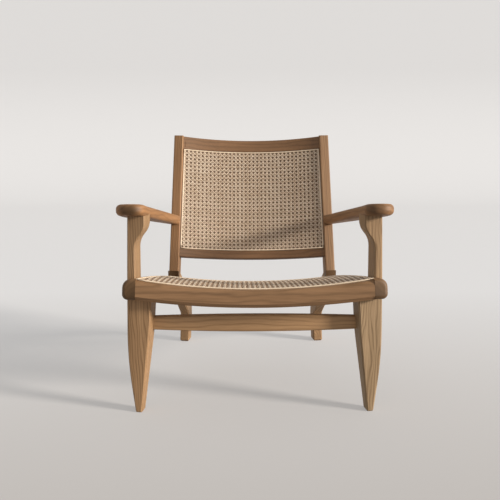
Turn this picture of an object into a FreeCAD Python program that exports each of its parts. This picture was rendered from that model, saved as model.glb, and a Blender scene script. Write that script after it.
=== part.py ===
import FreeCAD, Part
import math
import os
from FreeCAD import Rotation, Vector

# Lounge chair of teak with a caned seat and back. Millimetres, +Z up, the sitter faces -Y.
# Angles are in degrees. The right half is modelled and mirrored to make the left half.

# Stance of the side frames
seat_front_width = 698.0
side_turn = 9.3
rail_overhang = 35.0

# Side rail, which slopes down to the back with a slight crown
rail_thickness = 37.0
rail_height = 55.0
rail_top_radius = 23.0
rail_under_radius = 15.0
rail_end_radius = 11.0
rail_front_middle = 351.5
rail_run = 497.0
rail_slope = 12.5
rail_crown = 6.0

# Front leg below the side rail
leg_depth = 60.0
leg_inner_inset = 64.0
leg_outer_inset = 1.5
leg_top_inner_inset = 71.0
leg_shoulder_rise = 14.0
leg_knee_outer_inset = 0.9
leg_knee_outer_height = 150.0
leg_knee_outer_radius = 1080.0
leg_knee_inner_height = 225.0
leg_knee_inner_radius = 600.0
foot_outer_inset = 20.0
foot_inner_inset = 38.5
foot_depth = 34.0
foot_chamfer = 2.5
leg_edge_chamfer = 4.0
leg_shoulder_gap = 1.5

# Arm post between the side rail and the armrest
post_outer_inset = 11.8
post_neck_inset = 29.0
post_root_inset = 28.0
post_head_inset = 57.0
post_flare_drop = 56.0
post_flare_height = 74.0
post_edge_chamfer = 3.0

# Armrest
arm_tip_overhang = 48.0
arm_side_overhang = 9.5
arm_tip_inner_inset = 65.5
arm_inner_inset = 71.5
arm_rear_outer_inset = 95.0
arm_rear_inner_inset = 127.0
arm_front_top = 578.5
arm_front_height = 29.5
arm_rear_height = 29.0
arm_drop = 123.5
arm_tip_radius = 35.0
arm_side_radius = 420.0
arm_shoulder_reach = 52.0
arm_edge_radius = 11.0
arm_under_radius = 13.0

# Rear leg with the knuckle that takes the side rail and the back stile
knuckle_top = 289.0
knuckle_outer_inset = 3.5
knuckle_depth = 42.0
knuckle_under_reach = 40.0
rear_knee_setback = 179.0
rear_knee_height = 97.0
rear_knee_radius = 45.0
rear_leg_back_setback = 221.0
rear_leg_back_height = 118.0
rear_leg_back_radius = 70.0
rear_foot_setback = 184.0
rear_foot_depth = 37.0
rear_foot_outer_inset = -4.5
rear_foot_inner_inset = 26.5
rear_waist_outer_inset = 4.0
rear_waist_height = 150.0
rear_waist_radius = 900.0
rear_edge_chamfer = 3.5
rear_foot_chamfer = 5.0

# Back stile
stile_width = 30.5
stile_depth = 36.0
stile_length = 447.0
stile_lean = 23.0
stile_splay = 17.0
stile_edge_radius = 4.0

# Curved rails of the back, measured up the slope of the back
back_bow = 45.0
back_setback = 3.0
back_rail_thickness = 22.0
top_rail_height = 52.0
top_rail_dish = 2.5
lower_rail_start = 48.0
lower_rail_height = 36.0
back_rail_edge_chamfer = 2.0

# Front and rear seat rails
front_rail_depth = 46.0
front_rail_height_end = 52.5
front_rail_height_middle = 48.2
front_rail_radius = 17.0
front_rail_under_chamfer = 9.0
rear_rail_depth = 32.0
rear_rail_height = 46.0
rear_rail_clear = 9.0

# Front stretcher
stretcher_top = 258.5
stretcher_end_height = 32.5
stretcher_top_swell = 5.5
stretcher_bottom_swell = 8.0
stretcher_depth = 22.0
stretcher_setback = 36.0
stretcher_edge_chamfer = 2.5

# Caned seat, set in a shallow bed in the rails
seat_front_dish = 27.5
seat_rear_dish = 14.5
seat_margin = 5.5
seat_front_setback = 20.0
seat_rear_setback = 8.0
cane_thickness = 1.5
cane_bed_depth = 2.0
cane_margin = 10.0
spline_width = 5.0
spline_depth = 3.0
spline_rise = 1.5
seat_gap_columns = 10
seat_gap_rows = 7
back_gap_columns = 9
back_gap_rows = 7
gap_share = 0.56

# Joints
tenon_thickness = 14.0
leg_tenon_depth = 34.0
leg_tenon_length = 26.0
post_tenon_length = 18.0
arm_tenon_length = 14.0
arm_tenon_depth = 32.0
rail_tenon_height = 30.0
rail_tenon_length = 24.0
seat_rail_tenon_length = 15.0
seat_rail_tenon_height = 28.0
stile_tenon_depth = 16.0
stile_tenon_length = 16.0
stretcher_tenon_length = 18.0
stretcher_tenon_height = 22.0
stretcher_tenon_thickness = 10.0
back_tenon_length = 13.0
back_tenon_root = 8.0
back_tenon_height = 22.0
back_tenon_thickness = 9.0
dowel_diameter = 9.0
dowel_length = 44.0
peg_diameter = 6.0
glue_clearance = 0.2
seat_clearance = 0.3
overrun = 60.0

# How far, in degrees, an edge may lean and still count as running along a line
edge_lean = 20.0
flare_edge_lean = 46.0
stile_edge_lean = 3.0

# Worked out from the sizes above
half_front = seat_front_width / 2
turn = math.radians(side_turn)
slope = math.radians(rail_slope)
lean = math.radians(stile_lean)
half_rail = rail_height / 2
arm_outer_half = half_front + arm_side_overhang
arm_tip_inner_half = half_front - arm_tip_inner_inset
arm_inner_half = half_front - arm_inner_inset
arm_rear_outer_half = half_front - arm_rear_outer_inset
arm_rear_inner_half = half_front - arm_rear_inner_inset
frame_x = half_front - rail_overhang * math.sin(turn)
knuckle_front = rail_run - rail_overhang


def rail_middle(along):
    """Height of the straight line through the ends of the side rail's centre line."""
    return rail_front_middle - (along + rail_overhang) * math.tan(slope)


def unit(a, b):
    """Direction from point a to point b."""
    step = b - a
    return step.multiply(1 / step.Length)


def outline_face(corners):
    """Face in the XY plane through corners (x, y, radius), each corner rounded by its radius."""
    points = [Vector(x, y, 0) for x, y, radius in corners]
    starts = []
    ends = []
    middles = []
    for index, (x, y, radius) in enumerate(corners):
        corner = points[index]
        back = unit(corner, points[index - 1])
        ahead = unit(corner, points[(index + 1) % len(points)])
        half = back.getAngle(ahead) / 2
        setback = radius / math.tan(half)
        inward = (back + ahead).normalize()
        starts.append(corner + back * setback)
        ends.append(corner + ahead * setback)
        middles.append(corner + inward * (radius / math.sin(half) - radius))
    edges = []
    for index, (x, y, radius) in enumerate(corners):
        if radius > 0:
            edges.append(Part.Arc(starts[index], middles[index], ends[index]).toShape())
        following = (index + 1) % len(corners)
        edges.append(Part.makeLine(ends[index], starts[following]))
    return Part.Face(Part.Wire(edges))


def side_plate(corners, x_low, x_high):
    """Plate whose outline is drawn in the side view as (y, z) and which runs across x."""
    face = outline_face(corners)
    face.rotate(Vector(), Vector(1, 1, 1), 120)
    face.translate(Vector(x_low, 0, 0))
    return face.extrude(Vector(x_high - x_low, 0, 0))


def front_plate(corners, y_low, y_high):
    """Plate whose outline is drawn in the front view as (x, z) and which runs back along y."""
    face = outline_face(corners)
    face.rotate(Vector(), Vector(1, 0, 0), 90)
    face.translate(Vector(0, y_low, 0))
    return face.extrude(Vector(0, y_high - y_low, 0))


def plan_plate(corners, z_low, z_high):
    """Plate whose outline is drawn in plan as (x, y) and which runs up along z."""
    face = outline_face(corners)
    face.translate(Vector(0, 0, z_low))
    return face.extrude(Vector(0, 0, z_high - z_low))


def block(x_low, x_high, y_low, y_high, z_low, z_high):
    """Plain block between two corners."""
    low = Vector(x_low, y_low, z_low)
    return Part.makeBox(x_high - x_low, y_high - y_low, z_high - z_low, low)


def arc_over(half_span, drop, reach):
    """Depth, below its ends, of a sagging arc at the distance reach from its middle."""
    radius = (half_span ** 2 + drop ** 2) / (2 * drop)
    return drop - radius + math.sqrt(radius ** 2 - reach ** 2)


def softened(shape, radius, chosen):
    """Shape with the edges that pass the test chosen rounded by radius."""
    edges = [edge for edge in shape.Edges if chosen(edge)]
    return shape.makeFillet(radius, edges)


def chamfered(shape, width, chosen):
    """Shape with the edges that pass the test chosen cut back by a narrow flat of this width."""
    edges = [edge for edge in shape.Edges if chosen(edge)]
    return shape.makeChamfer(width, edges)


def runs_along(direction, least, lean_limit=edge_lean):
    """Test for edges at least this long whose ends lie along a direction."""
    def test(edge):
        ends = edge.Vertexes
        if len(ends) < 2:
            return False
        chord = ends[-1].Point - ends[0].Point
        if chord.Length < least:
            return False
        angle = chord.getAngle(direction)
        return min(angle, math.pi - angle) < math.radians(lean_limit)
    return test


def over_foot(x_low, x_high, y_low, y_high, trim):
    """Space over a foot, drawn in by trim at the floor and opening upwards at 45 degrees."""
    height = arm_front_top
    spread = height - trim
    wedge = Part.makeWedge(x_low + trim, 0, trim - y_high, -spread - y_high, x_low - spread,
                           x_high - trim, height, -trim - y_low, spread - y_low, x_high + spread)
    wedge.rotate(Vector(), Vector(1, 0, 0), 90)
    return wedge


def in_side_frame(shape):
    """Shape moved from the right side frame's own axes, x outward and y to the back, to the chair."""
    placed = shape.copy()
    placed.rotate(Vector(), Vector(0, 0, 1), side_turn)
    placed.translate(Vector(frame_x, 0, 0))
    return placed


def side_point(x, along, z):
    """Point of the right side frame in the chair's axes."""
    turned = Rotation(Vector(0, 0, 1), side_turn).multVec(Vector(x, along, z))
    return turned + Vector(frame_x, 0, 0)


def in_back_frame(shape):
    """Shape moved from the back's own axes, z up the slope of the back, to the chair."""
    placed = shape.copy()
    placed.rotate(Vector(), Vector(1, 0, 0), -stile_lean)
    placed.translate(Vector(0, back_foot.y, back_foot.z))
    return placed


def mirrored(shape):
    """The left piece that matches a right one."""
    return shape.mirror(Vector(), Vector(1, 0, 0))


# Side rail

def swept_along_rail(corners):
    """Section (x, height over the rail's centre line) swept along the crowned rail and past both ends."""
    chord = rail_run / math.cos(slope)
    radius = (chord ** 2 / 4 + rail_crown ** 2) / (2 * rail_crown)
    half_angle = math.degrees(math.asin(chord / 2 / radius)) + math.degrees(overrun / radius)
    face = outline_face(corners)
    face.rotate(Vector(), Vector(1, 0, 0), 90)
    face.translate(Vector(0, 0, radius))
    face.rotate(Vector(), Vector(1, 0, 0), half_angle)
    swept = face.revolve(Vector(), Vector(1, 0, 0), -2 * half_angle)
    swept.translate(Vector(0, 0, rail_crown - radius))
    swept.rotate(Vector(), Vector(1, 0, 0), -rail_slope)
    middle = rail_run / 2 - rail_overhang
    swept.translate(Vector(0, middle, rail_middle(middle)))
    return swept


def rail_section(grow=0.0):
    """Section of the side rail, rounded on its outer side."""
    inner = -rail_thickness - grow
    reach = half_rail + grow
    return [
        (inner, -reach, 0),
        (grow, -reach, rail_under_radius + grow),
        (grow, reach, rail_top_radius + grow),
        (inner, reach, 0),
    ]


def leg_tenon(grow=0.0):
    """Tongue on top of the front leg, let into the underside of the side rail."""
    middle = leg_depth / 2
    half = leg_tenon_depth / 2 + grow
    root = rail_middle(middle) - half_rail
    across = tenon_middle
    return block(across - tenon_thickness / 2 - grow, across + tenon_thickness / 2 + grow,
                 middle - half, middle + half, root - leg_tenon_length, root + leg_tenon_length + grow)


def post_tenon(grow=0.0):
    """Tongue under the arm post, let into the top of the side rail."""
    middle = leg_depth / 2
    half = leg_tenon_depth / 2 + grow
    root = rail_middle(middle) + half_rail
    across = tenon_middle
    return block(across - tenon_thickness / 2 - grow, across + tenon_thickness / 2 + grow,
                 middle - half, middle + half, root - post_tenon_length - grow, root + post_tenon_length)


def rail_tenon(grow=0.0):
    """Tongue on the back end of the side rail, let into the knuckle of the rear leg."""
    half = rail_tenon_height / 2 + grow
    across = -rail_thickness / 2
    tongue = block(across - tenon_thickness / 2 - grow, across + tenon_thickness / 2 + grow,
                   -rail_tenon_length, rail_tenon_length + grow, -half, half)
    tongue.rotate(Vector(), Vector(1, 0, 0), -rail_slope)
    tongue.translate(Vector(0, knuckle_front, rail_middle(knuckle_front)))
    return tongue


tenon_middle = -(post_outer_inset + post_root_inset) / 2


def side_rail_blank():
    """Side rail with its rounded front end, before the joints are cut."""
    rail = swept_along_rail(rail_section())
    front = block(-overrun - rail_thickness, overrun, -overrun - rail_run, 0, -overrun, overrun)
    front.rotate(Vector(), Vector(1, 0, 0), -rail_slope)
    front.translate(Vector(0, -rail_overhang, rail_front_middle))
    back = block(-overrun - rail_thickness, overrun, knuckle_front - seat_clearance,
                 knuckle_front + rail_run, 0, rail_front_middle + overrun)
    rail = rail.cut(front).cut(back)

    def front_end(edge):
        middle = edge.CenterOfMass
        return middle.y < -rail_overhang + half_rail and middle.x > -rail_thickness + glue_clearance \
            and edge.BoundBox.YLength < half_rail
    return softened(rail, rail_end_radius, front_end)


# Front leg

leg_top = rail_middle(0) - half_rail + leg_shoulder_rise


def front_leg():
    """Tapering front leg, sawn to its front view and its side view, scribed to the side rail."""
    lean_share = (post_outer_inset - leg_outer_inset) / (arm_front_top - leg_knee_inner_height)
    outer_top = leg_outer_inset + lean_share * (leg_top - leg_knee_inner_height)
    front_view = [
        (-leg_top_inner_inset, leg_top, 0),
        (-leg_inner_inset, leg_knee_inner_height, leg_knee_inner_radius),
        (-foot_inner_inset, 0, 0),
        (-foot_outer_inset, 0, 0),
        (-leg_knee_outer_inset, leg_knee_outer_height, leg_knee_outer_radius),
        (-outer_top, leg_top, 0),
    ]
    side_view = [
        (0, 0, 0),
        (foot_depth, 0, 0),
        (leg_depth, leg_knee_inner_height, leg_knee_inner_radius),
        (leg_depth, leg_top + overrun, 0),
        (0, leg_top + overrun, 0),
    ]
    leg = front_plate(front_view, -overrun, leg_depth + overrun)
    leg = leg.common(side_plate(side_view, -leg_top_inner_inset - overrun, overrun))
    leg = chamfered(leg, leg_edge_chamfer, runs_along(Vector(0, 0, 1), leg_depth))
    leg = leg.common(over_foot(-foot_inner_inset, -foot_outer_inset, 0, foot_depth, foot_chamfer))
    leg = leg.cut(swept_along_rail(rail_section(seat_clearance)))
    inside = [
        (-leg_top_inner_inset - overrun, -half_rail - seat_clearance, 0),
        (-rail_thickness, -half_rail - seat_clearance, 0),
        (-rail_thickness, half_rail, 0),
        (-leg_top_inner_inset - overrun, half_rail, 0),
    ]
    leg = leg.cut(swept_along_rail(inside))
    return leg.fuse(leg_tenon())


# Arm post

def s_curve(x_start, z_start, x_end, z_end):
    """Two equal arcs that lead from one upright line to another."""
    start = Vector(x_start, z_start, 0)
    end = Vector(x_end, z_end, 0)
    middle = (start + end) * 0.5
    shift = x_end - x_start
    rise = z_end - z_start
    radius = (shift ** 2 + rise ** 2) / (4 * abs(shift))
    bend = math.asin(rise / 2 / radius) / 2
    side = math.copysign(1, shift)
    first = Vector(x_start + side * radius * (1 - math.cos(bend)), z_start + radius * math.sin(bend), 0)
    last = Vector(x_end - side * radius * (1 - math.cos(bend)), z_end - radius * math.sin(bend), 0)
    return [Part.Arc(start, first, middle).toShape(), Part.Arc(middle, last, end).toShape()]


def arm_post():
    """Arm post, slim at the rail and flared on its inner side under the armrest."""
    low = rail_middle(0)
    high = arm_front_top
    lean_share = (post_outer_inset - leg_outer_inset) / (arm_front_top - leg_knee_inner_height)
    outer_low = leg_outer_inset + lean_share * (low - leg_knee_inner_height)
    flare_end = high - post_flare_drop
    flare_start = flare_end - post_flare_height
    flare = s_curve(-post_neck_inset, flare_start, -post_head_inset, flare_end)
    root = Vector(-post_root_inset, low, 0)
    neck = Vector(-post_neck_inset, flare_start, 0)
    head = Vector(-post_head_inset, flare_end, 0)
    head_top = Vector(-post_head_inset, high, 0)
    outer_top = Vector(-post_outer_inset, high, 0)
    outer_root = Vector(-outer_low, low, 0)
    edges = [Part.makeLine(root, neck)] + flare
    edges.append(Part.makeLine(head, head_top))
    edges.append(Part.makeLine(head_top, outer_top))
    edges.append(Part.makeLine(outer_top, outer_root))
    edges.append(Part.makeLine(outer_root, root))
    face = Part.Face(Part.Wire(edges))
    face.rotate(Vector(), Vector(1, 0, 0), 90)
    post = face.extrude(Vector(0, leg_depth, 0))
    post = chamfered(post, post_edge_chamfer, runs_along(Vector(0, 0, 1), stile_width, flare_edge_lean))
    post = post.cut(swept_along_rail(rail_section(seat_clearance)))
    return post.fuse(post_tenon())


# Rear leg

knuckle_back = knuckle_front + knuckle_depth * math.cos(lean)
knuckle_back_top = knuckle_top - knuckle_depth * math.sin(lean)


def rear_leg():
    """Raked rear leg that turns upright at its foot, with the knuckle at its head."""
    under = rail_middle(knuckle_front) - half_rail
    side_view = [
        (knuckle_front, knuckle_top, 0),
        (knuckle_front, under, 0),
        (knuckle_front + knuckle_under_reach, under - knuckle_under_reach * math.tan(slope), knuckle_depth),
        (knuckle_front + rear_knee_setback, rear_knee_height, rear_knee_radius),
        (knuckle_front + rear_foot_setback, 0, 0),
        (knuckle_front + rear_foot_setback + rear_foot_depth, 0, 0),
        (knuckle_front + rear_leg_back_setback, rear_leg_back_height, rear_leg_back_radius),
        (knuckle_back, knuckle_back_top, 0),
    ]
    front_view = [
        (-rail_thickness, knuckle_top + overrun, 0),
        (-rail_thickness, under, rear_waist_radius),
        (-rear_foot_inner_inset, 0, 0),
        (-rear_foot_outer_inset, 0, 0),
        (-rear_waist_outer_inset, rear_waist_height, rear_waist_radius),
        (-knuckle_outer_inset, knuckle_top + overrun, 0),
    ]
    leg = side_plate(side_view, -rail_thickness - overrun, overrun)
    leg = leg.common(front_plate(front_view, knuckle_front - overrun, knuckle_front + rail_run))

    def long_edge(edge):
        return edge.CenterOfMass.y > knuckle_front + knuckle_depth / 2 and edge.Length > rear_foot_depth
    leg = chamfered(leg, rear_edge_chamfer, long_edge)
    foot_front = knuckle_front + rear_foot_setback
    return leg.common(over_foot(-rear_foot_inner_inset, -rear_foot_outer_inset,
                                foot_front, foot_front + rear_foot_depth, rear_foot_chamfer))


# Back stile

stile_step = Vector(stile_splay, stile_length * math.sin(lean), stile_length * math.cos(lean))


def stile_bar(inset, width, front, depth, low, high):
    """Bar along the stile: across and from front to back in its section, and up its length."""
    across = Vector(width, 0, 0)
    rearward = Vector(0, math.cos(lean), -math.sin(lean))
    upward = Vector(stile_step).normalize()
    foot = Vector(-rail_thickness + inset, knuckle_front, knuckle_top)
    corner = foot + rearward * front + upward * low
    behind = rearward * depth
    corners = [corner, corner + across, corner + across + behind, corner + behind, corner]
    return Part.Face(Part.makePolygon(corners)).extrude(upward * (high - low))


def stile_tenon(grow=0.0):
    """Tongue at the foot of the stile, let into the top of the knuckle."""
    inset = (stile_width - tenon_thickness) / 2 - grow
    front = (stile_depth - stile_tenon_depth) / 2 - grow
    return stile_bar(inset, tenon_thickness + 2 * grow, front, stile_tenon_depth + 2 * grow,
                     -stile_tenon_length - grow, stile_tenon_length)


def back_stile():
    """Back stile with softened edges, standing on the knuckle."""
    stile = stile_bar(0, stile_width, 0, stile_depth, seat_clearance, stile_step.Length)
    stile = softened(stile, stile_edge_radius, runs_along(stile_step, stile_depth * 2, stile_edge_lean))
    return stile.fuse(stile_tenon())


back_foot = side_point(-rail_thickness, knuckle_front, knuckle_top)


def stile_inner_edge(up):
    """Distance of the stile's inner front edge from the middle of the back, up the slope."""
    share = up / stile_length
    return side_point(-rail_thickness + stile_splay * share, knuckle_front + stile_step.y * share, 0).x


# Rails of the back

def back_shell(front, depth, low, high):
    """Bowed shell of the back between two depths behind its front face and two heights."""
    half_span = stile_inner_edge(0)
    radius = (half_span ** 2 + back_bow ** 2) / (2 * back_bow)
    centre_y = back_setback + back_bow - radius
    outer = Part.makeCylinder(radius + front + depth, high - low, Vector(0, centre_y, low))
    inner = Part.makeCylinder(radius + front, high - low, Vector(0, centre_y, low))
    reach = half_span + stile_width
    window = block(-reach, reach, 0, radius, low, high)
    return outer.cut(inner).common(window)


def back_tenons(middle, grow=0.0):
    """Tongues at both ends of a back rail, let into the stiles."""
    half = back_tenon_height / 2 + grow
    reach = stile_inner_edge(middle) + back_tenon_length + grow
    front = back_setback + (back_rail_thickness - back_tenon_thickness) / 2 - grow
    deep = front + back_tenon_thickness + 2 * grow
    start = stile_inner_edge(middle) - back_tenon_root
    right = block(start, reach, front, deep, middle - half, middle + half)
    return [in_back_frame(right), in_back_frame(mirrored(right))]


def back_rail(low, high, dish, stile_space):
    """Bowed rail between the stiles, its ends cut to them, with a tongue at each end."""
    rail = back_shell(0, back_rail_thickness, low, high)
    if dish > 0:
        half_span = stile_inner_edge(high)
        left = Vector(-half_span, 0, high)
        middle = Vector(0, 0, high - dish)
        right = Vector(half_span, 0, high)
        crest = Part.Arc(left, middle, right).toShape()
        lid = Part.Face(Part.Wire([crest, Part.makeLine(right, left)]))
        rail = rail.cut(lid.extrude(Vector(0, overrun * 2, 0)))
    rail = in_back_frame(rail)
    for space in stile_space:
        rail = rail.cut(space)
    rail = max(rail.Solids, key=lambda solid: solid.Volume)
    rail = chamfered(rail, back_rail_edge_chamfer, runs_along(Vector(1, 0, 0), stile_inner_edge(high)))
    for tongue in back_tenons((low + high) / 2):
        rail = rail.fuse(tongue)
    return rail


# Seat surface

def seat_station(along):
    """Point on the edge of the seat surface at a place along the side rail."""
    inset = -rail_thickness + seat_margin
    place = (along + rail_overhang) / rail_run - 0.5
    crown = rail_crown * (1 - 4 * place ** 2)
    height = rail_middle(along) + (half_rail + crown) / math.cos(slope)
    return side_point(inset, along, height)


seat_front_along = -rail_overhang + seat_front_setback
seat_rear_along = knuckle_front - seat_rear_setback


def seat_slab(low, high):
    """Thin slab that follows the dished seat surface, between two heights over it."""
    reach_front = seat_front_along - overrun
    reach_rear = seat_rear_along + overrun
    wires = []
    for along in (reach_front, (reach_front + reach_rear) / 2, reach_rear):
        edge = seat_station(along)
        share = (along - seat_front_along) / (seat_rear_along - seat_front_along)
        dish = seat_front_dish + (seat_rear_dish - seat_front_dish) * share
        reach = edge.x + overrun
        lift = edge.z - arc_over(edge.x, dish, reach)
        corners = []
        for offset in (low, high):
            corners.append([Vector(-reach, edge.y, lift + offset),
                            Vector(0, edge.y, edge.z - dish + offset),
                            Vector(reach, edge.y, lift + offset)])
        under = Part.Arc(*corners[0]).toShape()
        over = Part.Arc(*corners[1]).toShape()
        sides = [Part.makeLine(corners[0][2], corners[1][2]), Part.makeLine(corners[1][0], corners[0][0])]
        wires.append(Part.Wire(Part.__sortEdges__([under, sides[0], over, sides[1]])))
    return Part.makeLoft(wires, True, False)


def seat_plan(inset):
    """Upright prism over the caned field of the seat, its outline drawn in by inset."""
    front = seat_station(seat_front_along)
    rear = seat_station(seat_rear_along)
    side = inset / math.cos(turn)
    taper = math.tan(turn)
    front_half = front.x - side - inset * taper
    rear_half = rear.x - side + inset * taper
    corners = [
        (-front_half, front.y + inset, 0),
        (front_half, front.y + inset, 0),
        (rear_half, rear.y - inset, 0),
        (-rear_half, rear.y - inset, 0),
    ]
    return plan_plate(corners, 0, arm_front_top)


def seat_spline(grow=0.0):
    """Reed that closes the groove round the caned seat."""
    ring = seat_plan(-grow).cut(seat_plan(spline_width + grow))
    return ring.common(seat_slab(-spline_depth - grow, spline_rise + grow))


def gap_centres(count):
    """Evenly spread shares from -1 to 1 for the middles of a row of gaps."""
    return [(2 * index + 1) / count - 1 for index in range(count)]


def seat_cane():
    """Caned seat as one thin sheet with a grid of gaps."""
    inset = spline_width + seat_clearance
    sheet = seat_plan(inset).common(seat_slab(seat_clearance - cane_bed_depth,
                                              seat_clearance - cane_bed_depth + cane_thickness))
    front = seat_station(seat_front_along)
    rear = seat_station(seat_rear_along)
    border = cane_margin + seat_margin + inset
    front_y = front.y + border + front_rail_depth / 2
    rear_y = rear.y - border - rear_rail_depth / 2
    row_pitch = (rear_y - front_y) / seat_gap_rows
    gaps = []
    for row in range(seat_gap_rows):
        middle = front_y + (row + 0.5) * row_pitch
        share = (middle - front.y) / (rear.y - front.y)
        half_width = front.x + (rear.x - front.x) * share - border
        column_pitch = 2 * half_width / seat_gap_columns
        for place in gap_centres(seat_gap_columns):
            x = place * half_width
            gaps.append(block(x - column_pitch * gap_share / 2, x + column_pitch * gap_share / 2,
                              middle - row_pitch * gap_share / 2, middle + row_pitch * gap_share / 2,
                              0, arm_front_top))
    return sheet.cut(Part.makeCompound(gaps))


# Caned back

panel_low = lower_rail_start + lower_rail_height - cane_margin
panel_high = stile_length - top_rail_height + cane_margin


def back_plan(inset):
    """Prism over the caned field of the back, seen square to the back and drawn in by inset."""
    slack = inset + seat_clearance * 2 + (back_setback + spline_width) * math.tan(turn)
    low_half = stile_inner_edge(panel_low) - slack
    high_half = stile_inner_edge(panel_high) - slack
    corners = [
        (-low_half, panel_low + inset, 0),
        (low_half, panel_low + inset, 0),
        (high_half, panel_high - inset, 0),
        (-high_half, panel_high - inset, 0),
    ]
    return front_plate(corners, -overrun, back_bow + overrun * 2)


def back_spline(grow=0.0):
    """Reed that closes the groove round the caned back."""
    ring = back_plan(-grow).cut(back_plan(spline_width + grow))
    shell = back_shell(-spline_rise - grow, spline_rise + spline_depth + 2 * grow,
                       panel_low - overrun, panel_high + overrun)
    return in_back_frame(ring.common(shell))


def back_bed():
    """Space that the caned back takes in the rails."""
    shell = back_shell(-cane_bed_depth * 2, cane_bed_depth * 3, panel_low - overrun, panel_high + overrun)
    return in_back_frame(back_plan(0).common(shell))


def back_cane():
    """Caned back as one thin bowed sheet with a grid of gaps."""
    inset = spline_width + seat_clearance
    front = cane_bed_depth - seat_clearance - cane_thickness
    shell = back_shell(front, cane_thickness, panel_low - overrun, panel_high + overrun)
    sheet = back_plan(inset).common(shell)
    border = cane_margin + inset
    row_pitch = (panel_high - panel_low - 2 * border) / back_gap_rows
    gaps = []
    for row in range(back_gap_rows):
        middle = panel_low + border + (row + 0.5) * row_pitch
        half_width = stile_inner_edge(middle) - border
        column_pitch = 2 * half_width / back_gap_columns
        for place in gap_centres(back_gap_columns):
            x = place * half_width
            gaps.append(block(x - column_pitch * gap_share / 2, x + column_pitch * gap_share / 2,
                              -overrun, back_bow + overrun * 2,
                              middle - row_pitch * gap_share / 2, middle + row_pitch * gap_share / 2))
    return in_back_frame(sheet.cut(Part.makeCompound(gaps)))


# Seat rails

def seat_rail_tenons(along, grow=0.0):
    """Tongues at both ends of a seat rail, let into the side rails."""
    inner = side_point(-rail_thickness, along, 0)
    half = seat_rail_tenon_height / 2 + grow
    tongue = block(-2 * seat_rail_tenon_length, seat_rail_tenon_length + grow,
                   -tenon_thickness / 2 - grow, tenon_thickness / 2 + grow, -half, half)
    tongue.rotate(Vector(), Vector(1, 0, 0), -rail_slope)
    tongue.rotate(Vector(), Vector(0, 0, 1), side_turn)
    tongue.translate(Vector(inner.x, inner.y, rail_middle(along)))
    return [tongue, mirrored(tongue)]


def sagging_sweep(profile, sag, half_span):
    """Profile (depth, height) swept to both sides along an arc that rises by sag over the half span."""
    radius = (half_span ** 2 + sag ** 2) / (2 * sag)
    half_angle = math.degrees(math.asin(half_span / radius))
    face = outline_face(profile)
    face.rotate(Vector(), Vector(1, 1, 1), 120)
    centre = Vector(0, 0, radius)
    face.rotate(centre, Vector(0, 1, 0), half_angle)
    return face.revolve(centre, Vector(0, 1, 0), -2 * half_angle)


def front_seat_rail(beyond_sides, room=0.0):
    """Dished front rail with a rounded front, between the side rails, with some room round it if asked."""
    end = side_point(-rail_thickness, -rail_overhang, 0).x + seat_rail_tenon_length
    low_sag = seat_front_dish - front_rail_height_end + front_rail_height_middle
    upper_profile = [
        (0, -overrun, 0),
        (front_rail_depth + room, -overrun, 0),
        (front_rail_depth + room, 0, 0),
        (0, 0, front_rail_radius),
    ]
    lower_profile = [
        (0, front_rail_under_chamfer, 0),
        (front_rail_under_chamfer, -room, 0),
        (front_rail_depth + room, -room, 0),
        (front_rail_depth + room, overrun * 2, 0),
        (0, overrun * 2, 0),
    ]
    rail = sagging_sweep(upper_profile, seat_front_dish, end)
    under = sagging_sweep(lower_profile, low_sag, end)
    under.translate(Vector(0, 0, -front_rail_height_middle))
    rail = rail.common(under)
    rail.rotate(Vector(), Vector(1, 0, 0), -rail_slope)
    middle = side_point(-rail_thickness, -rail_overhang, rail_front_middle)
    lift = half_rail - seat_front_dish
    rail.translate(Vector(0, middle.y + lift * math.sin(slope), middle.z + lift * math.cos(slope)))
    for space in beyond_sides:
        rail = rail.cut(space)
    return max(rail.Solids, key=lambda solid: solid.Volume)


def rear_seat_rail(beyond_sides):
    """Straight rear rail between the side rails, its top cut to the seat."""
    rear = seat_station(rear_rail_front)
    low = rear.z - seat_rear_dish - rear_rail_height
    half = rear.x + seat_margin
    rail = block(-half, half, rear.y, rear.y + rear_rail_depth, low, rear.z + overrun)
    rail = rail.cut(seat_slab(0, overrun * 3))
    for space in beyond_sides:
        rail = rail.cut(space)
    rail = max(rail.Solids, key=lambda solid: solid.Volume)
    return rail


rear_rail_front = knuckle_front - rear_rail_clear - rear_rail_depth


# Front stretcher

def stretcher_tenons(grow=0.0):
    """Tongues at both ends of the stretcher, let into the front legs."""
    inner = side_point(-leg_inner_inset, stretcher_setback + stretcher_depth / 2, 0)
    middle = stretcher_top - stretcher_end_height / 2
    half = stretcher_tenon_height / 2 + grow
    thick = stretcher_tenon_thickness / 2 + grow
    tongue = block(-2 * stretcher_tenon_length, stretcher_tenon_length + grow, -thick, thick,
                   middle - half, middle + half)
    tongue.translate(Vector(inner.x, inner.y, 0))
    return [tongue, mirrored(tongue)]


def front_stretcher(leg_space):
    """Stretcher between the front legs, taller in its middle."""
    near = side_point(-leg_inner_inset, stretcher_setback, 0)
    end = near.x + leg_inner_inset / 2
    low = stretcher_top - stretcher_end_height
    crest = Vector(0, near.y, stretcher_top + stretcher_top_swell)
    belly = Vector(0, near.y, low - stretcher_bottom_swell)
    corner_a = Vector(-end, near.y, stretcher_top)
    corner_b = Vector(end, near.y, stretcher_top)
    corner_c = Vector(end, near.y, low)
    corner_d = Vector(-end, near.y, low)
    wire = Part.Wire([Part.Arc(corner_a, crest, corner_b).toShape(), Part.makeLine(corner_b, corner_c),
                      Part.Arc(corner_c, belly, corner_d).toShape(), Part.makeLine(corner_d, corner_a)])
    bar = Part.Face(wire).extrude(Vector(0, stretcher_depth, 0))
    bar = chamfered(bar, stretcher_edge_chamfer, runs_along(Vector(1, 0, 0), end))
    for space in leg_space:
        bar = bar.cut(space)
    bar = max(bar.Solids, key=lambda solid: solid.Volume)
    for tongue in stretcher_tenons():
        bar = bar.fuse(tongue)
    return bar


# Armrest

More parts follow.
